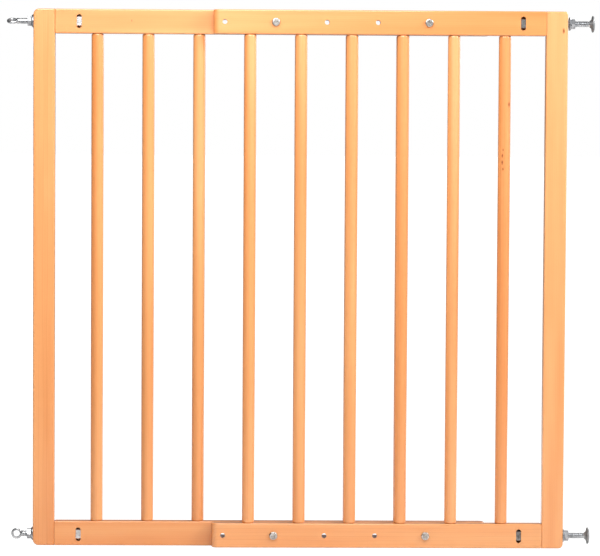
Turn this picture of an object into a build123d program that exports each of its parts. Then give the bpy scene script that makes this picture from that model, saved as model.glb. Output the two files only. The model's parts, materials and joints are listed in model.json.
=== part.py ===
from build123d import *
import os

# Extending wooden safety gate for babies and children.
# Two beech ladder frames overlap and slide past each other: the rear panel carries the
# hinge-side stile, the front panel carries the latch-side stile. Four connector screws
# clamp the panels together. Eye bolts (hinge side) and disc bolts (latch side) screw into
# captive nuts inside the rails and are locked against the stiles by flange nuts.
# X runs along the gate, Y from front to rear, Z up. The origin is on the floor, midway
# between the upper hinge eye and the latch discs, in the plane where the panels meet.

# ---- the gate as a whole, mm ----
gate_height = 725.0
frame_width = 718.0            # outer face to outer face of the stiles
panel_gap = 0.6                # play between the two panels
timber_depth = 18.0            # every stile and rail is this thick
stile_width = 29.0
rail_height = 33.0
edge_round = 1.8               # eased long edges
butt_round = 0.9               # eased edges where a rail butts a stile
hinge_corner_round = 8.0       # outer corners of the hinge stile
latch_lower_corner_round = 6.0
latch_upper_corner_round = 4.0

# ---- dowels ----
dowel_diameter = 16.5
dowel_pitch = 68.5
first_dowel_offset = 57.0      # dowel 1 from the hinge stile's inner face
rear_dowels = (1, 2, 3, 4, 5, 6, 7)
front_dowels = (4, 5, 6, 7, 8, 9)
dowel_shoulder_round = 2.2
tenon_diameter = 12.0
tenon_length = 10.0
socket_diameter = 12.1
socket_depth = 10.4

# ---- width adjustment ----
front_rail_overhang = 49.5     # free end of the front rails beyond dowel 4
rear_rail_overhang = 116.0     # free end of the rear rails beyond dowel 7
free_end_round = 8.0           # bullnose of the rails' free ends
adjusting_holes = (1, 2, 3, 4, 5)
screwed_holes = (2, 5)
adjusting_hole_diameter = 6.6
adjusting_slot_height = 6.8
slot_spare = 0.6               # room left at each end of the slot

# ---- connector screws and their sleeve nuts ----
pan_head_diameter = 11.0
pan_head_height = 3.2
pan_head_round = 1.5
sleeve_diameter = 6.2
sleeve_length = 28.0
sleeve_bore_diameter = 4.1
sleeve_floor = 2.0             # solid end under the sleeve nut's head
connector_shank_diameter = 4.0
connector_shank_length = 24.0
recess_depth = 1.8
recess_span = 5.6
recess_width = 1.4

# ---- bolts, captive nuts and lock nuts ----
bolt_diameter = 8.0
bolt_bore_diameter = 8.6
bolt_bore_depth = 68.0         # in the rail, from the stile
bolt_inner_reach = 50.0        # bolt length in the rail
bolt_tip_chamfer = 1.0
hinge_lower_drop = 1.4         # the lower hinge bolt is bored this far below its rail's middle
hinge_captive_offset = 32.5    # captive nut from the hinge stile's inner face
latch_captive_offset = 31.2    # and from the latch stile's
captive_slot_width = 6.8
captive_slot_height = 18.8
captive_slot_depth = 16.0
nut_across_flats = 13.0
nut_bore_diameter = 8.1
captive_nut_size = 13.0        # square, side length
captive_nut_thickness = 6.5
nut_corner_chamfer = 0.8
lock_nut_height = 8.0
flange_diameter = 17.9
flange_rim = 1.2
flange_cone_height = 1.8
flange_cone_slope = 50.0       # degrees from the bolt
latch_nut_gap = 2.0            # the upper latch-side nut is backed off its stile

# ---- eyes and discs ----
eye_diameter = 14.6
eye_bore_diameter = 8.6
eye_thickness = 3.6
eye_edge_round = 1.3
upper_eye_reach = 36.0         # outer end of the ring from the stile
lower_eye_reach = 29.5
upper_eye_turn = 66.0          # degrees, the upper ring is turned to face up and forward
disc_diameter = 22.5
disc_rim = 1.6
disc_back_cone = 1.4
disc_flat_diameter = 16.0
disc_crown = 1.0
disc_edge_break = 0.6
disc_boss_diameter = 12.0
disc_boss_height = 2.0
disc_reach = 36.0

# ---- corner joints ----
pin_diameter = 6.0
pin_length = 44.0
pin_reach_in_rail = 24.0
pin_spacing = 20.6
glue_room = 1.0                # socket deeper than the pin at each end

# ---- modelling allowances ----
cut_overrun = 1.0              # a through bore is cut this far past the faces
place_tolerance = 0.01         # for picking edges by position

# ---- positions worked out from the sizes ----
rear_y = (timber_depth + panel_gap) / 2
front_y = -rear_y
outer_y = timber_depth + panel_gap / 2
hinge_face = -frame_width / 2
latch_face = frame_width / 2
hinge_inner = hinge_face + stile_width
latch_inner = latch_face - stile_width
lower_axis = rail_height / 2
upper_axis = gate_height - rail_height / 2
heights = {"top": upper_axis, "bottom": lower_axis}
hinge_bolts = {"top": upper_axis, "bottom": lower_axis - hinge_lower_drop}
latch_bolts = heights


def dowel_x(number):
    """Dowels stand at an even pitch, numbered from the hinge stile."""
    return hinge_inner + first_dowel_offset + (number - 1) * dowel_pitch


def hole_x(number):
    """Adjusting holes lie midway between dowels, the first one just outside dowel 4."""
    return dowel_x(front_dowels[0]) + (number - 1.5) * dowel_pitch


front_rail_end = dowel_x(front_dowels[0]) - front_rail_overhang
rear_rail_end = dowel_x(rear_dowels[-1]) + rear_rail_overhang


# ---------------------------------------------------------------- plain shapes


def bar(x_range, y_range, z_range):
    """Rectangular block between three pairs of limits."""
    low = [min(pair) for pair in (x_range, y_range, z_range)]
    high = [max(pair) for pair in (x_range, y_range, z_range)]
    sizes = [top - bottom for top, bottom in zip(high, low)]
    return Location(tuple(low)) * Box(*sizes, align=Align.MIN)


def standing_rod(diameter, length):
    """Round bar standing on the origin."""
    return Cylinder(diameter / 2, length, align=(Align.CENTER, Align.CENTER, Align.MIN))


def rod_x(diameter, x_range, y, z):
    """Round bar along X."""
    start, end = sorted(x_range)
    return Location((start, y, z), (0, 90, 0)) * standing_rod(diameter, end - start)


def rod_y(diameter, y_range, x, z):
    """Round bar along Y."""
    start, end = sorted(y_range)
    return Location((x, start, z), (-90, 0, 0)) * standing_rod(diameter, end - start)


def rod_z(diameter, z_range, x, y):
    """Round bar along Z."""
    start, end = sorted(z_range)
    return Location((x, y, start)) * standing_rod(diameter, end - start)


def edges_at(body, direction, axis, value):
    """Straight edges along one direction that lie at one place on another axis."""
    low, high = value - place_tolerance, value + place_tolerance
    return body.edges().filter_by(direction).filter_by_position(axis, low, high)


# ---------------------------------------------------------------- timber


def stile(outer_face, y, upper_round, lower_round):
    """Upright with rounded outer corners and eased edges."""
    inner_face = hinge_inner if outer_face < 0 else latch_inner
    depth = (y - timber_depth / 2, y + timber_depth / 2)
    body = bar((outer_face, inner_face), depth, (0, gate_height))
    body = fillet(edges_at(body, Axis.Y, Axis.X, outer_face).sort_by(Axis.Z)[0], lower_round)
    body = fillet(edges_at(body, Axis.Y, Axis.X, outer_face).sort_by(Axis.Z)[-1], upper_round)
    return fillet(body.faces().filter_by(Axis.Y).edges(), edge_round)


def bored_stile(outer_face, y, upper_round, lower_round, bolts):
    """Stile with its bolt bores and the sockets of the corner pins."""
    body = stile(outer_face, y, upper_round, lower_round)
    outward = -1 if outer_face < 0 else 1
    inner_face = hinge_inner if outer_face < 0 else latch_inner
    bore_reach = (outer_face + outward * cut_overrun, inner_face - outward * cut_overrun)
    for level, z in heights.items():
        body -= rod_x(bolt_bore_diameter, bore_reach, y, bolts[level])
        socket_end = inner_face + outward * (pin_length - pin_reach_in_rail + glue_room)
        for offset in (-pin_spacing / 2, pin_spacing / 2):
            body -= rod_x(pin_diameter, (socket_end, inner_face), y, z + offset)
    return body


def plain_rail(butt_x, free_x, y, z):
    """Rail with eased long edges, a square butt end and a bullnosed free end."""
    depth = (y - timber_depth / 2, y + timber_depth / 2)
    body = bar((butt_x, free_x), depth, (z - rail_height / 2, z + rail_height / 2))
    body = fillet(edges_at(body, Axis.Z, Axis.X, free_x), free_end_round)
    body = fillet(edges_at(body, Axis.Z, Axis.X, butt_x), butt_round)
    outline = body.faces().filter_by(Axis.Z).edges()
    return fillet(outline.filter_by(lambda edge: abs(edge.center().X - butt_x) > butt_round), edge_round)


def dowel_sockets(numbers, y, level):
    """Blind holes in a rail for the dowel tenons."""
    if level == "top":
        inner = gate_height - rail_height
        reach = (inner, inner + socket_depth)
    else:
        inner = rail_height
        reach = (inner - socket_depth, inner)
    return [rod_z(socket_diameter, reach, dowel_x(number), y) for number in numbers]


def captive_x(inward):
    """Middle of a captive nut; inward is +1 on the hinge side and -1 on the latch side."""
    if inward > 0:
        return hinge_inner + hinge_captive_offset
    return latch_inner - latch_captive_offset


def bolt_cavity(butt_x, inward, y, z):
    """Bore for the bolt and the upright slot that holds its captive nut."""
    bore = rod_x(bolt_bore_diameter, (butt_x, butt_x + inward * bolt_bore_depth), y, z)
    slot_front = y - timber_depth / 2
    mouth = Plane(origin=(captive_x(inward), slot_front, z), x_dir=(0, 0, 1), z_dir=(0, 1, 0))
    outline = SlotOverall(captive_slot_height, captive_slot_width)
    return bore, extrude(mouth * outline, amount=captive_slot_depth)


def pin_sockets(butt_x, inward, y, z):
    """Sockets in a rail end for the two corner pins."""
    reach = (butt_x, butt_x + inward * (pin_reach_in_rail + glue_room))
    return [rod_x(pin_diameter, reach, y, z + side * pin_spacing / 2) for side in (-1, 1)]


def rail(butt_x, free_x, y, level, dowels, bolts):
    """Rail with everything both panels share: sockets, bolt bore and captive-nut slot."""
    z = heights[level]
    inward = 1 if free_x > butt_x else -1
    body = plain_rail(butt_x, free_x, y, z)
    for cut in dowel_sockets(dowels, y, level):
        body -= cut
    for cut in bolt_cavity(butt_x, inward, y, bolts[level]):
        body -= cut
    for cut in pin_sockets(butt_x, inward, y, z):
        body -= cut
    return body


def rear_rail(level):
    """Rear rail: a long slot lets the connector screws travel one dowel pitch each way."""
    body = rail(hinge_inner, rear_rail_end, rear_y, level, rear_dowels, hinge_bolts)
    first = hole_x(screwed_holes[0]) - dowel_pitch - slot_spare
    last = hole_x(screwed_holes[-1]) + dowel_pitch + slot_spare
    centre = ((first + last) / 2, rear_y, heights[level])
    middle = Plane(origin=centre, x_dir=(1, 0, 0), z_dir=(0, 1, 0))
    outline = SlotOverall(last - first + adjusting_slot_height, adjusting_slot_height)
    return body - extrude(middle * outline, amount=timber_depth, both=True)


def front_rail(level):
    """Front rail with its row of adjusting holes."""
    body = rail(latch_inner, front_rail_end, front_y, level, front_dowels, latch_bolts)
    reach = (front_y - timber_depth, front_y + timber_depth)
    for number in adjusting_holes:
        body -= rod_y(adjusting_hole_diameter, reach, hole_x(number), heights[level])
    return body


def dowel(number, y):
    """Round upright with softly rounded shoulders and a thinner tenon at each end."""
    low = rail_height
    high = gate_height - rail_height
    body = rod_z(dowel_diameter, (low, high), dowel_x(number), y)
    body = fillet(body.edges().filter_by(GeomType.CIRCLE), dowel_shoulder_round)
    return body + rod_z(tenon_diameter, (low - tenon_length, high + tenon_length), dowel_x(number), y)


def corner_pins(butt_x, inward, y, z):
    """Two wooden pins that hold a rail to its stile, above and below the bolt."""
    start = butt_x + inward * (pin_reach_in_rail - pin_length)
    end = butt_x + inward * pin_reach_in_rail
    offsets = (-pin_spacing / 2, pin_spacing / 2)
    return Compound(children=[rod_x(pin_diameter, (start, end), y, z + offset) for offset in offsets])


# ---------------------------------------------------------------- turned metal


def hexagon(start_x, direction, height, y, z):
    """Hexagonal nut blank along X with its corners chamfered at both ends."""
    face = Plane(origin=(start_x, y, z), x_dir=(0, 1, 0), z_dir=(direction, 0, 0))
    outline = RegularPolygon(nut_across_flats / 2, 6, major_radius=False)
    blank = extrude(face * outline, amount=height)
    across_corners = nut_across_flats * 2 / 3 ** 0.5
    turned = extrude(face * Circle(across_corners / 2), amount=height)
    return blank & chamfer(turned.edges(), nut_corner_chamfer)


def captive_nut(inward, y, z):
    """Square nut that sits in its slot with one side to the front."""
    middle = captive_x(inward)
    half = captive_nut_size / 2
    ends = (middle - captive_nut_thickness / 2, middle + captive_nut_thickness / 2)
    body = bar(ends, (y - half, y + half), (z - half, z + half))
    body = chamfer(body.edges().filter_by(Axis.X), nut_corner_chamfer)
    return body - rod_x(nut_bore_diameter, (middle - stile_width, middle + stile_width), y, z)


def lock_nut(seat_x, outward, y, z):
    """Flange nut: the flange bears on the stile, the hexagon faces outward."""
    body = hexagon(seat_x, outward, lock_nut_height, y, z)
    face = Plane(origin=(seat_x, y, z), x_dir=(0, 1, 0), z_dir=(outward, 0, 0))
    body += extrude(face * Circle(flange_diameter / 2), amount=flange_rim)
    cone_base = face.offset(flange_rim) * Circle(flange_diameter / 2)
    body += extrude(cone_base, amount=flange_cone_height, taper=flange_cone_slope)
    return body - rod_x(nut_bore_diameter, (seat_x - stile_width, seat_x + stile_width), y, z)


def bolt_shank(face_x, inward, outer_x, y, z):
    """Threaded length from outside the stile to its chamfered tip in the rail."""
    tip = face_x + inward * (stile_width + bolt_inner_reach)
    body = rod_x(bolt_diameter, (outer_x, tip), y, z)
    ends = body.edges().filter_by(GeomType.CIRCLE).sort_by(Axis.X)
    return chamfer(ends[-1] if inward > 0 else ends[0], bolt_tip_chamfer)


def eye_bolt(reach, turn, z):
    """Bolt ending in a flat-sided ring; turn tips the ring's front face upward."""
    centre_x = hinge_face - reach + eye_diameter / 2
    ring = rod_y(eye_diameter, (rear_y - eye_thickness / 2, rear_y + eye_thickness / 2), centre_x, z)
    ring = fillet(ring.edges().filter_by(GeomType.CIRCLE), eye_edge_round)
    shank_start = centre_x + (eye_bore_diameter + eye_diameter) / 4
    body = ring + bolt_shank(hinge_face, 1, shank_start, rear_y, z)
    body -= rod_y(eye_bore_diameter, (rear_y - eye_diameter, rear_y + eye_diameter), centre_x, z)
    return body.rotate(Axis((0, rear_y, z), (1, 0, 0)), -turn)


def disc_bolt(z):
    """Bolt with a broad disc head, hollowed to a boss behind, that slots into the latch catch."""
    outer = latch_face + disc_reach
    rim_front = outer - disc_crown
    rim_back = rim_front - disc_rim
    cone_back = rim_back - disc_back_cone
    boss_back = cone_back - disc_boss_height
    profile = Polyline(
        (outer, 0),
        (outer, disc_flat_diameter / 2),
        (rim_front, disc_diameter / 2 - disc_edge_break),
        (rim_front - disc_edge_break, disc_diameter / 2),
        (rim_back, disc_diameter / 2),
        (cone_back, disc_boss_diameter / 2),
        (boss_back, bolt_diameter / 2 + disc_edge_break),
        (boss_back, 0),
        close=True,
    )
    head = Location((0, front_y, z)) * revolve(make_face(profile), Axis.X)
    return head + bolt_shank(latch_face, -1, rim_front, front_y, z)


# ---------------------------------------------------------------- connectors


def pan_head(face_y, outward):
    """Low domed screw head with a cross recess, on the Y axis."""
    head = rod_y(pan_head_diameter, (face_y, face_y + outward * pan_head_height), 0, 0)
    rim = head.edges().filter_by(GeomType.CIRCLE).sort_by(Axis.Y)
    head = fillet(rim[-1] if outward > 0 else rim[0], pan_head_round)
    crown = face_y + outward * pan_head_height
    floor = crown - outward * recess_depth
    half = recess_span / 2
    width = recess_width / 2
    head -= bar((-half, half), (floor, crown + outward), (-width, width))
    head -= bar((-width, width), (floor, crown + outward), (-half, half))
    return head


def connector_screw():
    """Screw from the front: pan head on the front rail, shank inside the sleeve nut."""
    shank_start = -outer_y
    shank = rod_y(connector_shank_diameter, (shank_start, shank_start + connector_shank_length), 0, 0)
    return pan_head(-outer_y, -1) + shank


def sleeve_nut():
    """Flanged sleeve from the back: it passes through both panels."""
    seat = outer_y
    sleeve = rod_y(sleeve_diameter, (seat - sleeve_length, seat), 0, 0)
    body = pan_head(seat, 1) + sleeve
    return body - rod_y(sleeve_bore_diameter, (seat - sleeve_length, seat - sleeve_floor), 0, 0)


# ---------------------------------------------------------------- assembly


def rear_panel():
    rounds = (hinge_corner_round, hinge_corner_round)
    parts = {"left_stile": bored_stile(hinge_face, rear_y, *rounds, hinge_bolts)}
    for level, z in heights.items():
        parts[f"rear_{level}_rail"] = rear_rail(level)
        parts[f"rear_{level}_corner_pins"] = corner_pins(hinge_inner, 1, rear_y, z)
        parts[f"rear_{level}_captive_nut"] = captive_nut(1, rear_y, hinge_bolts[level])
    for number in rear_dowels:
        parts[f"rear_dowel_{number}"] = dowel(number, rear_y)
    return parts


def front_panel():
    rounds = (latch_upper_corner_round, latch_lower_corner_round)
    parts = {"right_stile": bored_stile(latch_face, front_y, *rounds, latch_bolts)}
    for level, z in heights.items():
        parts[f"front_{level}_rail"] = front_rail(level)
        parts[f"front_{level}_corner_pins"] = corner_pins(latch_inner, -1, front_y, z)
        parts[f"front_{level}_captive_nut"] = captive_nut(-1, front_y, latch_bolts[level])
        for hole in screwed_holes:
            place = Location((hole_x(hole), 0, z))
            parts[f"connector_screw_{level}_{hole}"] = place * connector_screw()
            parts[f"sleeve_nut_{level}_{hole}"] = place * sleeve_nut()
    for number in front_dowels:
        parts[f"front_dowel_{number}"] = dowel(number, front_y)
    return parts


def adjusters():
    parts = {
        "eye_bolt_top": eye_bolt(upper_eye_reach, upper_eye_turn, hinge_bolts["top"]),
        "eye_bolt_bottom": eye_bolt(lower_eye_reach, 0, hinge_bolts["bottom"]),
    }
    for level in heights:
        gap = latch_nut_gap if level == "top" else 0
        parts[f"eye_lock_nut_{level}"] = lock_nut(hinge_face, -1, rear_y, hinge_bolts[level])
        parts[f"disc_bolt_{level}"] = disc_bolt(latch_bolts[level])
        parts[f"disc_lock_nut_{level}"] = lock_nut(latch_face + gap, 1, front_y, latch_bolts[level])
    return parts


os.makedirs("parts", exist_ok=True)
for name, shape in {**rear_panel(), **front_panel(), **adjusters()}.items():
    shape.label = name
    export_step(shape, f"parts/{name}.step")
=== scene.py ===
import json
import math
import random

import bmesh
import bpy
from mathutils import Matrix, Vector


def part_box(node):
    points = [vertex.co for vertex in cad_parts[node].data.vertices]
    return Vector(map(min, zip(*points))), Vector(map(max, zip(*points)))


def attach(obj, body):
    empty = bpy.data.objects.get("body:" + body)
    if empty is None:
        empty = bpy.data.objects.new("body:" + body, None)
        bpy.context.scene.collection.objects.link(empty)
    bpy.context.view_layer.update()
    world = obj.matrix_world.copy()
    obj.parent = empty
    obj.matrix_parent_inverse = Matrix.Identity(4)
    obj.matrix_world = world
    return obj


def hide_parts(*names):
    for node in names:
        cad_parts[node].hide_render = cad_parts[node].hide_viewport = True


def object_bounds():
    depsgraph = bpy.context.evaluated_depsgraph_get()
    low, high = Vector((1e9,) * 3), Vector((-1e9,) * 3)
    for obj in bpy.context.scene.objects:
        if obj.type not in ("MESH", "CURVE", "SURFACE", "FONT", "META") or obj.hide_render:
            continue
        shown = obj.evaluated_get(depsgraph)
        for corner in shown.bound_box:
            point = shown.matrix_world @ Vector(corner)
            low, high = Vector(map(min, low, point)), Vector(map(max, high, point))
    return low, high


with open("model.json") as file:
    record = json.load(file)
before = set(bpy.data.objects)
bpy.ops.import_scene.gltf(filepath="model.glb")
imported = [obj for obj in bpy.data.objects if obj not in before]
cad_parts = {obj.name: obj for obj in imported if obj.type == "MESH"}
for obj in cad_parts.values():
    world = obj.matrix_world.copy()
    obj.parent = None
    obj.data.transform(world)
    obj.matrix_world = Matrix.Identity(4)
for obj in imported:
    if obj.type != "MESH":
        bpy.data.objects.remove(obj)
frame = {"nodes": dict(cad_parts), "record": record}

# Extending wooden safety gate. Metres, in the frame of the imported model:
# X from the hinge side to the latch side, Y from front to rear, Z up.

# ------------------------------------------------------------------ whole gate
# The finished gate stands on the floor with its two panels clamped together.
# Its own box gives the middle and the height that the studio is set out from.
cad_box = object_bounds()
gate_low, gate_high = Vector(cad_box[0]), Vector(cad_box[1])
gate_middle = (gate_low + gate_high) / 2


# ------------------------------------------------------------------ beech timber
# Stiles, rails and dowels are steamed beech under a clear satin lacquer. The
# lacquer lies thin over the flecks, and the sawn ends drink it and go darker.
def new_group(name, inputs, outputs):
    """Empty shader node group with named inputs and outputs; returns what wires it up."""
    group = bpy.data.node_groups.new(name, "ShaderNodeTree")
    for title, kind, value in inputs:
        socket = group.interface.new_socket(title, in_out="INPUT", socket_type=kind)
        socket.default_value = value
    for title, kind in outputs:
        group.interface.new_socket(title, in_out="OUTPUT", socket_type=kind)
    entry = group.nodes.new("NodeGroupInput")
    leave = group.nodes.new("NodeGroupOutput")
    return group, entry, leave


def add_node(tree, kind, **settings):
    """Node of one kind; sockets maps each input to a value or to the output that feeds it."""
    node = tree.nodes.new(kind)
    sockets = settings.pop("sockets", {})
    for key, value in settings.items():
        setattr(node, key, value)
    for key, value in sockets.items():
        if isinstance(value, bpy.types.NodeSocket):
            tree.links.new(value, node.inputs[key])
        else:
            node.inputs[key].default_value = value
    return node


def ramp(tree, factor, stops):
    """Colour ramp with given positions and colours."""
    node = add_node(tree, "ShaderNodeValToRGB", sockets={"Fac": factor})
    bar = node.color_ramp
    while len(bar.elements) < len(stops):
        bar.elements.new(0.5)
    for element, (position, colour) in zip(bar.elements, stops):
        element.position = position
        element.color = (*colour, 1.0) if len(colour) == 3 else (colour[0],) * 3 + (1.0,)
    return node.outputs["Color"]


def blend_colour(tree, factor, first, second, how="MIX"):
    """Mix of two colours, each a socket or a colour."""
    factor_input, first_input, second_input, colour_output = 0, 6, 7, 2
    node = add_node(tree, "ShaderNodeMix", data_type="RGBA", blend_type=how)
    for index, value in ((factor_input, factor), (first_input, first), (second_input, second)):
        if isinstance(value, bpy.types.NodeSocket):
            tree.links.new(value, node.inputs[index])
        else:
            node.inputs[index].default_value = value if index == factor_input else (*value, 1.0)
    return node.outputs[colour_output]


def sums(tree, operation, *values, clamp=False):
    """One math node on sockets or numbers."""
    node = add_node(tree, "ShaderNodeMath", operation=operation, use_clamp=clamp)
    for index, value in enumerate(values):
        if isinstance(value, bpy.types.NodeSocket):
            tree.links.new(value, node.inputs[index])
        else:
            node.inputs[index].default_value = value
    return node.outputs[0]


def timber_group():
    """Grain of one board or dowel: broad figure, fine flecks, end grain and a bump height."""
    group, entry, leave = new_group(
        "timber grain",
        (("Place", "NodeSocketVector", (0, 0, 0)), ("Facing", "NodeSocketVector", (0, 0, 0)),
         ("Shift", "NodeSocketVector", (0, 0, 0)), ("Tone", "NodeSocketFloat", 0.5)),
        (("Color", "NodeSocketColor"), ("Roughness", "NodeSocketFloat"), ("Height", "NodeSocketFloat")))
    moved = add_node(group, "ShaderNodeVectorMath", operation="ADD",
                     sockets={0: entry.outputs["Place"], 1: entry.outputs["Shift"]}).outputs[0]

    def stretched(scale):
        return add_node(group, "ShaderNodeVectorMath", operation="MULTIPLY",
                        sockets={0: moved, 1: scale}).outputs[0]

    # Place runs along the grain on its Z axis, whatever way the board lies.
    broad = add_node(group, "ShaderNodeTexNoise", sockets={
        "Vector": stretched((38, 38, 2.2)), "Scale": 1.0, "Detail": 3.0, "Roughness": 0.55})
    bands = add_node(group, "ShaderNodeTexWave", wave_type="RINGS", rings_direction="Z", sockets={
        "Vector": stretched((95, 60, 3.0)), "Scale": 1.4, "Distortion": 3.2, "Detail": 2.0,
        "Detail Scale": 1.1})
    fleck = add_node(group, "ShaderNodeTexVoronoi", feature="F1", sockets={
        "Vector": stretched((1500, 1500, 210)), "Scale": 1.0, "Randomness": 1.0})
    fibre = add_node(group, "ShaderNodeTexNoise", sockets={
        "Vector": stretched((2600, 2600, 60)), "Scale": 1.0, "Detail": 2.0, "Roughness": 0.6})
    cloud = add_node(group, "ShaderNodeTexNoise", sockets={
        "Vector": stretched((9, 9, 2.4)), "Scale": 1.0, "Detail": 1.0})

    heart = ramp(group, broad.outputs["Fac"], (
        (0.28, (0.705, 0.254, 0.072)), (0.52, (0.755, 0.310, 0.102)), (0.75, (0.790, 0.372, 0.142))))
    ring = ramp(group, bands.outputs["Fac"], (
        (0.30, (0.97, 0.92, 0.86)), (0.60, (1.0, 1.0, 1.0)), (0.95, (0.92, 0.84, 0.76))))
    body = blend_colour(group, 0.75, heart, ring, "MULTIPLY")
    dashes = ramp(group, fleck.outputs["Distance"], ((0.0, (0.80, 0.70, 0.60)), (0.16, (1.0, 1.0, 1.0))))
    body = blend_colour(group, 0.55, body, dashes, "MULTIPLY")
    drift = ramp(group, cloud.outputs["Fac"], ((0.3, (0.95, 0.93, 0.90)), (0.7, (1.04, 1.06, 1.10))))
    body = blend_colour(group, 1.0, body, drift, "MULTIPLY")
    pale = blend_colour(group, 1.0, body, (1.05, 1.20, 1.42), "MULTIPLY")
    body = blend_colour(group, entry.outputs["Tone"], body, pale)

    facing = add_node(group, "ShaderNodeSeparateXYZ", sockets={0: entry.outputs["Facing"]})
    across = sums(group, "ABSOLUTE", facing.outputs["Z"])
    end_grain = ramp(group, across, ((0.72, (0.0,)), (0.9, (1.0,))))
    end_colour = blend_colour(group, 1.0, body, (0.84, 0.74, 0.62), "MULTIPLY")
    body = blend_colour(group, end_grain, body, end_colour)

    rough = sums(group, "MULTIPLY_ADD", fibre.outputs["Fac"], 0.16, 0.30)
    rough = sums(group, "MULTIPLY_ADD", end_grain, 0.22, rough, clamp=True)
    low = sums(group, "MULTIPLY", fleck.outputs["Distance"], 0.35)
    height = sums(group, "MULTIPLY_ADD", fibre.outputs["Fac"], 0.65, low)
    group.links.new(body, leave.inputs["Color"])
    group.links.new(rough, leave.inputs["Roughness"])
    group.links.new(height, leave.inputs["Height"])
    return group


def knot_group():
    """Pin knot: a small dark eye in the timber with a wavering edge."""
    group, entry, leave = new_group(
        "pin knot",
        (("Color", "NodeSocketColor", (1, 1, 1, 1)), ("Place", "NodeSocketVector", (0, 0, 0)),
         ("Centre", "NodeSocketVector", (0, 0, 0)), ("Size", "NodeSocketFloat", 0.003)),
        (("Color", "NodeSocketColor"),))
    away = add_node(group, "ShaderNodeVectorMath", operation="SUBTRACT",
                    sockets={0: entry.outputs["Place"], 1: entry.outputs["Centre"]}).outputs[0]
    oval = add_node(group, "ShaderNodeVectorMath", operation="MULTIPLY",
                    sockets={0: away, 1: (1.0, 0.5, 0.45)}).outputs[0]
    reach = add_node(group, "ShaderNodeVectorMath", operation="LENGTH",
                     sockets={0: oval}).outputs["Value"]
    wobble = add_node(group, "ShaderNodeTexNoise", sockets={
        "Vector": entry.outputs["Place"], "Scale": 900.0, "Detail": 1.0}).outputs["Fac"]
    spread = sums(group, "DIVIDE", reach, entry.outputs["Size"])
    spread = sums(group, "MULTIPLY_ADD", wobble, 0.5, spread)
    shade = ramp(group, spread, (
        (0.28, (0.16, 0.07, 0.04)), (0.55, (0.50, 0.30, 0.20)),
        (0.92, (0.93, 0.86, 0.80)), (1.0, (1, 1, 1))))
    stained = blend_colour(group, 1.0, entry.outputs["Color"], shade, "MULTIPLY")
    group.links.new(stained, leave.inputs["Color"])
    return group


timber_grain = timber_group()
pin_knot = knot_group()
grain_turns = {"upright": (0, 0, 0), "level": (0, math.pi / 2, 0)}


def place_group(material, group, sockets):
    """Node group inside a material with its own values."""
    return add_node(material.node_tree, "ShaderNodeGroup", node_tree=group, sockets=sockets)


def lacquered_timber(name, grain, tone, shift, knots=()):
    """Satin lacquered beech for one board or dowel."""
    material = bpy.data.materials.new(name)
    material.use_nodes = True
    tree = material.node_tree
    shader = tree.nodes["Principled BSDF"]
    coords = add_node(tree, "ShaderNodeTexCoord")
    turn = grain_turns[grain]
    place = add_node(tree, "ShaderNodeVectorRotate", rotation_type="EULER_XYZ", sockets={
        "Vector": coords.outputs["Object"], "Rotation": turn}).outputs[0]
    facing = add_node(tree, "ShaderNodeVectorRotate", rotation_type="EULER_XYZ", sockets={
        "Vector": coords.outputs["Normal"], "Rotation": turn}).outputs[0]
    wood = place_group(material, timber_grain, {
        "Place": place, "Facing": facing, "Shift": shift, "Tone": tone})
    colour = wood.outputs["Color"]
    for centre, size in knots:
        knot = place_group(material, pin_knot, {
            "Color": colour, "Place": coords.outputs["Object"], "Centre": centre, "Size": size})
        colour = knot.outputs["Color"]
    tree.links.new(colour, shader.inputs["Base Color"])
    tree.links.new(wood.outputs["Roughness"], shader.inputs["Roughness"])
    bump = add_node(tree, "ShaderNodeBump", sockets={
        "Strength": 0.12, "Distance": 0.0004, "Height": wood.outputs["Height"]})
    tree.links.new(bump.outputs["Normal"], shader.inputs["Normal"])
    shader.inputs["Coat Weight"].default_value = 0.9
    shader.inputs["Coat Roughness"].default_value = 0.13
    shader.inputs["IOR"].default_value = 1.5
    return material


def dress(node, material):
    """Give a CAD node its finish."""
    mesh = frame["nodes"][node].data
    mesh.materials.clear()
    mesh.materials.append(material)


# ------------------------------------------------------------------ stiles
# The two uprights are planed beech boards with eased edges and rounded outer
# corners. The latch stile was cut from a paler board with one pin knot.
right_low, right_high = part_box("right_stile")
right_knot = Vector((right_high.x - 0.006, right_low.y, right_high.z - 0.026))
dress("left_stile", lacquered_timber("hinge stile beech", "upright", 0.42, (0.31, 0.12, 0.05)))
dress("right_stile", lacquered_timber("latch stile beech", "upright", 1.0, (0.77, 0.43, 0.21),
                                      knots=((right_knot, 0.0027),)))


# ------------------------------------------------------------------ rails
# Two beech rails to a panel, butted on the stile with hidden wooden pins. The
# front pair is bored with adjusting holes, the rear pair is slotted behind it.
top_low, top_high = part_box("rear_top_rail")
rear_speck = Vector((top_low.x + 0.103, top_low.y, (top_low.z + top_high.z) / 2 + 0.001))
rail_tones = {
    "rear_top_rail": (0.45, (0.11, 0.52, 0.93), ((rear_speck, 0.0013),)),
    "rear_bottom_rail": (0.0, (0.64, 0.27, 0.38), ()),
    "front_top_rail": (0.04, (0.92, 0.71, 0.16), ()),
    "front_bottom_rail": (0.34, (0.23, 0.85, 0.59), ()),
}
for node, (tone, shift, knots) in rail_tones.items():
    dress(node, lacquered_timber(node.replace("_", " ") + " beech", "level", tone, shift, knots))


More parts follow.
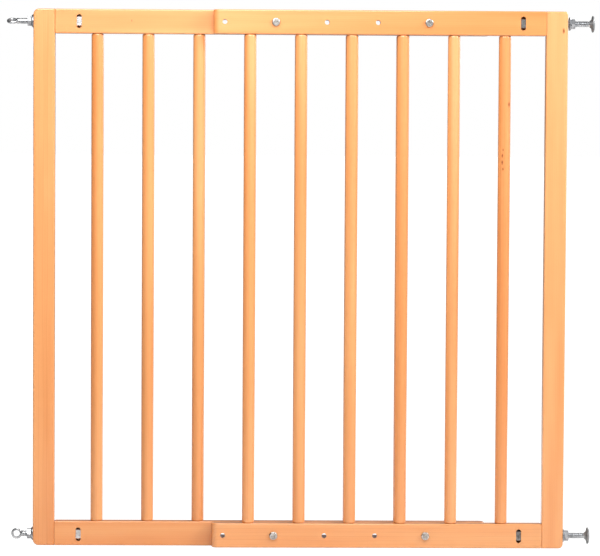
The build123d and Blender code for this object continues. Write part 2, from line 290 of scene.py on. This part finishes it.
# ------------------------------------------------------------------ dowels
# Thirteen turned beech dowels with softly rounded shoulders, tenoned into the
# rails: seven in the rear panel and six in the front one, all slightly unlike.
dowel_luck = random.Random(11)
dowel_nodes = sorted(name for name in frame["nodes"] if "_dowel_" in name)
last_low, last_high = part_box("front_dowel_9")
last_middle = (last_low + last_high) / 2
dowel_knots = {"front_dowel_9": (
    (Vector((last_high.x - 0.003, last_low.y + 0.003, last_high.z - 0.102)), 0.0026),
    (Vector((last_middle.x - 0.002, last_low.y, last_high.z - 0.163)), 0.0013),
    (Vector((last_middle.x - 0.003, last_low.y, last_high.z - 0.171)), 0.0019),
    (Vector((last_middle.x - 0.003, last_low.y, last_high.z - 0.180)), 0.0022),
    (Vector((last_middle.x - 0.002, last_low.y, last_high.z - 0.189)), 0.0016),
)}
for node in dowel_nodes:
    tone = dowel_luck.uniform(0.02, 0.62)
    shift = tuple(dowel_luck.uniform(0, 1) for _ in range(3))
    dress(node, lacquered_timber(node.replace("_", " ") + " beech", "upright", tone, shift,
                                 dowel_knots.get(node, ())))


# ------------------------------------------------------------------ corner pins
# Two raw beech pins in each corner, glued across the butt joint above and
# below the bolt. They are hidden once the gate is together.
for node in sorted(name for name in frame["nodes"] if name.endswith("corner_pins")):
    dress(node, lacquered_timber(node.replace("_", " ") + " beech", "level", 0.5, (0.4, 0.1, 0.7)))


# ------------------------------------------------------------------ plated steel
# Bolts and nuts are steel under bright zinc, the connector screws are nickel
# plated. Handling leaves the plating faintly clouded, with duller, rougher patches.
def plating_group():
    """Plated steel: clouded colour, rubbed roughness and a very shallow bump."""
    group, entry, leave = new_group(
        "plated steel",
        (("Place", "NodeSocketVector", (0, 0, 0)), ("Bright", "NodeSocketColor", (0.8, 0.8, 0.8, 1)),
         ("Dull", "NodeSocketColor", (0.5, 0.5, 0.5, 1)), ("Smoothness", "NodeSocketFloat", 0.25)),
        (("Color", "NodeSocketColor"), ("Roughness", "NodeSocketFloat"), ("Height", "NodeSocketFloat")))
    cloud = add_node(group, "ShaderNodeTexNoise", sockets={
        "Vector": entry.outputs["Place"], "Scale": 210.0, "Detail": 4.0, "Roughness": 0.6})
    grit = add_node(group, "ShaderNodeTexNoise", sockets={
        "Vector": entry.outputs["Place"], "Scale": 2400.0, "Detail": 2.0})
    patch = ramp(group, cloud.outputs["Fac"], ((0.38, (0.0,)), (0.66, (1.0,))))
    colour = blend_colour(group, patch, entry.outputs["Bright"], entry.outputs["Dull"])
    rough = sums(group, "MULTIPLY_ADD", patch, 0.14, entry.outputs["Smoothness"])
    rough = sums(group, "MULTIPLY_ADD", grit.outputs["Fac"], 0.06, rough, clamp=True)
    group.links.new(colour, leave.inputs["Color"])
    group.links.new(rough, leave.inputs["Roughness"])
    group.links.new(grit.outputs["Fac"], leave.inputs["Height"])
    return group


plated_steel = plating_group()


def plated(name, bright, dull, smoothness):
    """Plated steel finish for one kind of fitting."""
    material = bpy.data.materials.new(name)
    material.use_nodes = True
    tree = material.node_tree
    shader = tree.nodes["Principled BSDF"]
    coords = add_node(tree, "ShaderNodeTexCoord")
    skin = place_group(material, plated_steel, {
        "Place": coords.outputs["Object"], "Bright": (*bright, 1), "Dull": (*dull, 1),
        "Smoothness": smoothness})
    tree.links.new(skin.outputs["Color"], shader.inputs["Base Color"])
    tree.links.new(skin.outputs["Roughness"], shader.inputs["Roughness"])
    bump = add_node(tree, "ShaderNodeBump", sockets={
        "Strength": 0.08, "Distance": 0.00008, "Height": skin.outputs["Height"]})
    tree.links.new(bump.outputs["Normal"], shader.inputs["Normal"])
    shader.inputs["Metallic"].default_value = 1.0
    return material


# ------------------------------------------------------------------ captive nuts
# A plain square nut stands in the round-ended slot of each rail end and takes
# the bolt; only its flat side shows. The latch side pair is coloured darker as
# painted shade from the slot around it.
bright_nut = plated("captive nut zinc", (0.78, 0.79, 0.80), (0.50, 0.51, 0.53), 0.24)
# Painted shade: this darker copy of the zinc stands in for the shade inside the latch side slots.
slot_shade_nut = plated("shade painted captive nut zinc", (0.36, 0.36, 0.36), (0.16, 0.16, 0.16), 0.34)
for level in ("top", "bottom"):
    dress("rear_%s_captive_nut" % level, bright_nut)
    dress("front_%s_captive_nut" % level, slot_shade_nut)


# ------------------------------------------------------------------ threaded bolts
# M8 steel bolts with a rolled coarse thread over the whole shank, zinc plated. The
# hinge side ends in a flat-sided forged ring, the latch side in a broad turned disc.
bolt_finish = plated("bolt zinc", (0.66, 0.67, 0.69), (0.42, 0.44, 0.46), 0.22)
disc_finish = plated("disc zinc", (0.34, 0.35, 0.36), (0.22, 0.23, 0.24), 0.50)
thread_pitch = 0.00125
thread_crest = 0.00398
thread_root = 0.0033
thread_steps = 28
thread_sink = 0.00015
thread_sharp_angle = math.radians(38)
tip_chamfer = 0.0012
tip_radius = 0.0026
ridge_inset = 0.0014


def circle_points(axis_point, x, radius, sides):
    """Points round the bolt's axis at one place along it."""
    turns = [2 * math.pi * i / sides for i in range(sides)]
    return [(x, axis_point.y + radius * math.cos(a), axis_point.z + radius * math.sin(a)) for a in turns]


def turned_bar(build, axis_point, start, end, profile, sides=32):
    """Lathe-turned solid along X; profile is a list of (distance from start, radius)."""
    step = 1 if end > start else -1
    rings = []
    for along, radius in profile:
        points = circle_points(axis_point, start + step * along, radius, sides)
        rings.append([build.verts.new(point) for point in points])
    for one, two in zip(rings, rings[1:]):
        for i in range(sides):
            build.faces.new((one[i], one[(i + 1) % sides], two[(i + 1) % sides], two[i]))
    build.faces.new(rings[0])
    build.faces.new(rings[-1])


def chamfered_tip(length):
    """Outline of the threaded core up to its chamfered end, for a bolt of this length."""
    return ((length - tip_chamfer, thread_root), (length, tip_radius))


def thread_ridge(build, axis_point, start, end):
    """Helical ridge with a flat crest that runs out at both ends."""
    step = 1 if end > start else -1
    count = int(abs(end - start) / thread_pitch * thread_steps)
    foot, lip = 0.42 * thread_pitch, 0.09 * thread_pitch
    floor = thread_root - thread_sink
    rings = []
    for i in range(count + 1):
        angle = 2 * math.pi * i / thread_steps
        fade = min(1.0, i / thread_steps, (count - i) / thread_steps)
        crest = floor + thread_sink / 3 + (thread_crest - floor - thread_sink / 3) * fade
        along = start + step * i * thread_pitch / thread_steps
        section = ((-foot, floor), (-lip, crest), (lip, crest), (foot, floor))
        rings.append([build.verts.new((along + shift, axis_point.y + step * radius * math.cos(angle),
                                       axis_point.z + radius * math.sin(angle)))
                      for shift, radius in section])
    for one, two in zip(rings, rings[1:]):
        for k in range(len(one)):
            after = (k + 1) % len(one)
            build.faces.new((one[k], one[after], two[after], two[k]))
    build.faces.new(rings[0])
    build.faces.new(rings[-1])


def finished_piece(name, build, material, body, node, head_material=None, head_x=None):
    """Close a built mesh, smooth it, and put it in the place of its CAD node."""
    bmesh.ops.recalc_face_normals(build, faces=build.faces)
    mesh = bpy.data.meshes.new(name)
    build.to_mesh(mesh)
    build.free()
    mesh.materials.append(material)
    if head_material:
        mesh.materials.append(head_material)
        for face in mesh.polygons:
            face.material_index = 1 if face.center.x > head_x else 0
    mesh.polygons.foreach_set("use_smooth", [True] * len(mesh.polygons))
    mesh.set_sharp_from_angle(angle=thread_sharp_angle)
    piece = bpy.data.objects.new(name, mesh)
    bpy.context.scene.collection.objects.link(piece)
    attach(piece, body)
    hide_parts(node)


def forged_ring(build, centre, turn, outer, inner, half):
    """Flat-sided ring with a rounded outer rim and a straight bore."""
    soft = 0.0013
    arris = 0.0002
    arc = [math.pi / 8 * i for i in range(5)]
    section = [(inner, -half + arris), (inner + arris, -half)]
    section += [(outer - soft + soft * math.sin(a), -half + soft - soft * math.cos(a)) for a in arc]
    section += [(radius, -depth) for radius, depth in reversed(section)]
    steps = 56
    spin = Matrix.Rotation(turn, 3, "X")
    rings = []
    for i in range(steps):
        angle = 2 * math.pi * i / steps
        rings.append([build.verts.new(centre + spin @ Vector((radius * math.cos(angle), depth,
                                                              radius * math.sin(angle))))
                      for radius, depth in section])
    for i, one in enumerate(rings):
        two = rings[(i + 1) % steps]
        for k in range(len(section)):
            after = (k + 1) % len(section)
            build.faces.new((one[k], one[after], two[after], two[k]))


# Outlines run along the bolt as (distance, radius). The eye bolt swells from the
# ring's weld to a plain collar before the thread starts.
ring_radius = 0.0073
neck_offset = 0.0122
eye_collar = ((0, 0.0024), (0.0007, 0.0032), (0.0018, 0.0038), (0.0044, 0.0038), (0.0050, thread_root))
eye_ridge_start = 0.0052
hinge_eyes = {mount["name"]: mount for mount in frame["record"]["mounts"]}
for level in ("top", "bottom"):
    node = "eye_bolt_" + level
    eye = hinge_eyes["hinge_eye_" + level]
    turn = math.atan2(-eye["axis"][2], -eye["axis"][1])
    low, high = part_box(node)
    middle = (low + high) / 2
    build = bmesh.new()
    forged_ring(build, Vector((low.x + ring_radius, middle.y, middle.z)), turn, ring_radius,
                eye["dims"]["r_mm"] / 1000, eye["dims"]["length_mm"] / 2000)
    neck = low.x + neck_offset
    shank = high.x - neck
    turned_bar(build, middle, neck, high.x, eye_collar + chamfered_tip(shank))
    thread_ridge(build, middle, neck + eye_ridge_start, high.x - ridge_inset)
    finished_piece("threaded_" + node, build, bolt_finish, node, node)

# The disc is turned with a low crown, a rounded rim, a hollow back and a boss
# that runs down to the plain collar.
disc_crown = ((0, 0.0079), (0.00012, 0.0084), (0.00045, 0.0098), (0.0010, 0.01065))
disc_rim = ((0.00125, 0.01100), (0.0016, 0.01122), (0.0021, 0.01125), (0.0025, 0.01110),
            (0.0028, 0.01075))
disc_back = ((0.0033, 0.0090), (0.0039, 0.0064), (0.0043, 0.0058))
disc_boss = ((0.0056, 0.0050), (0.0060, 0.0045), (0.0061, 0.0038))
disc_collar = ((0.0068, 0.0038), (0.0074, thread_root))
disc_sides = 48
disc_ridge_start = 0.0076
head_length = 0.0061
for level in ("top", "bottom"):
    node = "disc_bolt_" + level
    low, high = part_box(node)
    middle = (low + high) / 2
    length = high.x - low.x
    build = bmesh.new()
    outline = disc_crown + disc_rim + disc_back + disc_boss + disc_collar + chamfered_tip(length)
    turned_bar(build, middle, high.x, low.x, outline, sides=disc_sides)
    thread_ridge(build, middle, high.x - disc_ridge_start, low.x + ridge_inset)
    finished_piece("threaded_" + node, build, bolt_finish, node, node,
                   head_material=disc_finish, head_x=high.x - head_length)


# ------------------------------------------------------------------ lock nuts
# Hexagon flange nuts in zinc plated steel, one to a bolt. Each runs along its
# bolt and jams against the stile to stop the bolt from turning.
lock_finish = plated("lock nut zinc", (0.46, 0.47, 0.49), (0.26, 0.27, 0.29), 0.26)
for node in sorted(name for name in frame["nodes"] if "_lock_nut_" in name):
    dress(node, lock_finish)


# ------------------------------------------------------------------ connectors
# Low domed screws from the front meet flanged sleeve nuts from behind and
# clamp the two panels together through the adjusting holes.
connector_finish = plated("connector nickel", (0.64, 0.62, 0.59), (0.40, 0.38, 0.36), 0.20)
for node in sorted(name for name in frame["nodes"] if name.startswith(("connector_", "sleeve_"))):
    dress(node, connector_finish)


# ------------------------------------------------------------------ studio
# A white sweep of floor and wall, with soft lamps high on the latch side, over
# the front, and behind the latch side. The camera stands a little left of the
# middle, below the top of the gate.
def studio_floor():
    """Large pale floor under the gate."""
    reach = 60.0
    clearance = 0.0002
    mesh = bpy.data.meshes.new("studio floor")
    build = bmesh.new()
    corners = [build.verts.new((x * reach, y * reach, gate_low.z - clearance))
               for x, y in ((-1, -1), (1, -1), (1, 1), (-1, 1))]
    build.faces.new(corners)
    build.to_mesh(mesh)
    build.free()
    floor = bpy.data.objects.new("studio_floor", mesh)
    bpy.context.scene.collection.objects.link(floor)
    paint = bpy.data.materials.new("studio floor paint")
    paint.use_nodes = True
    tree = paint.node_tree
    shader = tree.nodes["Principled BSDF"]
    speckle = add_node(tree, "ShaderNodeTexNoise", sockets={"Scale": 3.0})
    tint = ramp(tree, speckle.outputs["Fac"], ((0.3, (0.80, 0.80, 0.80)), (0.7, (0.82, 0.82, 0.82))))
    tree.links.new(tint, shader.inputs["Base Color"])
    shader.inputs["Roughness"].default_value = 0.9
    shader.inputs["Specular IOR Level"].default_value = 0.1
    glow = add_node(tree, "ShaderNodeEmission", sockets={"Color": (1, 1, 1, 1), "Strength": 1.15})
    seen = add_node(tree, "ShaderNodeLightPath").outputs["Is Camera Ray"]
    paper = add_node(tree, "ShaderNodeMixShader", sockets={
        0: seen, 1: shader.outputs["BSDF"], 2: glow.outputs["Emission"]})
    tree.links.new(paper.outputs["Shader"], tree.nodes["Material Output"].inputs["Surface"])
    mesh.materials.append(paint)


def aim(thing, place, target, roll=0.0):
    """Stand a lamp or camera at a place and point it."""
    direction = (target - place).to_track_quat("-Z", "Y").to_matrix().to_4x4()
    thing.matrix_world = Matrix.Translation(place) @ direction @ Matrix.Rotation(roll, 4, "Z")


def soft_lamp(name, place, target, size, power, colour):
    """Square soft box."""
    data = bpy.data.lights.new(name, "AREA")
    data.shape = "SQUARE"
    data.size = size
    data.energy = power
    data.color = colour
    lamp = bpy.data.objects.new(name, data)
    bpy.context.scene.collection.objects.link(lamp)
    aim(lamp, place, target)


studio_floor()
warm_white = (1.0, 0.99, 0.97)
upper_right = Vector((gate_high.x, 0, gate_high.z))
soft_lamp("key lamp", upper_right + Vector((1.25, -0.85, 0.70)), gate_middle + Vector((0.0, 0, 0.15)),
          size=0.7, power=30.0, colour=warm_white)
soft_lamp("top lamp", Vector((-0.2, -0.7, gate_high.z + 0.5)), Vector((-0.15, 0, gate_high.z - 0.1)),
          size=0.9, power=17.5, colour=warm_white)
soft_lamp("rear lamp", Vector((gate_high.x + 0.9, 1.3, gate_high.z + 0.4)), gate_middle,
          size=0.8, power=17.0, colour=warm_white)


def studio_surround():
    """White surround for the eye, but darker on the hinge side where it lights the gate."""
    world = bpy.data.worlds.new("studio")
    world.use_nodes = True
    tree = world.node_tree
    light = tree.nodes["Background"]
    coords = add_node(tree, "ShaderNodeTexCoord")
    way = add_node(tree, "ShaderNodeSeparateXYZ", sockets={0: coords.outputs["Generated"]})
    sideways = ramp(tree, sums(tree, "MULTIPLY_ADD", way.outputs["X"], 0.5, 0.5), (
        (0.0, (0.07,)), (0.35, (0.20,)), (0.6, (0.50,)), (0.85, (1.0,))))
    upward = ramp(tree, sums(tree, "MULTIPLY_ADD", way.outputs["Z"], 0.5, 0.5), (
        (0.35, (0.45,)), (0.55, (0.75,)), (0.9, (1.0,))))
    glow = blend_colour(tree, 1.0, sideways, upward, "MULTIPLY")
    tree.links.new(glow, light.inputs["Color"])
    light.inputs["Strength"].default_value = 0.70
    paper = add_node(tree, "ShaderNodeBackground", sockets={"Color": (1, 1, 1, 1), "Strength": 1.0})
    seen = add_node(tree, "ShaderNodeLightPath").outputs["Is Camera Ray"]
    both = add_node(tree, "ShaderNodeMixShader", sockets={
        0: seen, 1: light.outputs["Background"], 2: paper.outputs["Background"]})
    tree.links.new(both.outputs["Shader"], tree.nodes["World Output"].inputs["Surface"])
    return world


bpy.context.scene.world = studio_surround()
bpy.context.scene.view_settings.view_transform = "Standard"

camera_data = bpy.data.cameras.new("camera")
camera_data.lens = 176.0
camera_data.sensor_width = 36.0
camera = bpy.data.objects.new("camera", camera_data)
bpy.context.scene.collection.objects.link(camera)
camera_stand = Vector((-0.096, -3.958, 0.564))
camera_target = Vector((0.0012, 0.0, 0.3643))
camera_roll = 0.00605
aim(camera, camera_stand, camera_target, camera_roll)
bpy.context.scene.camera = camera
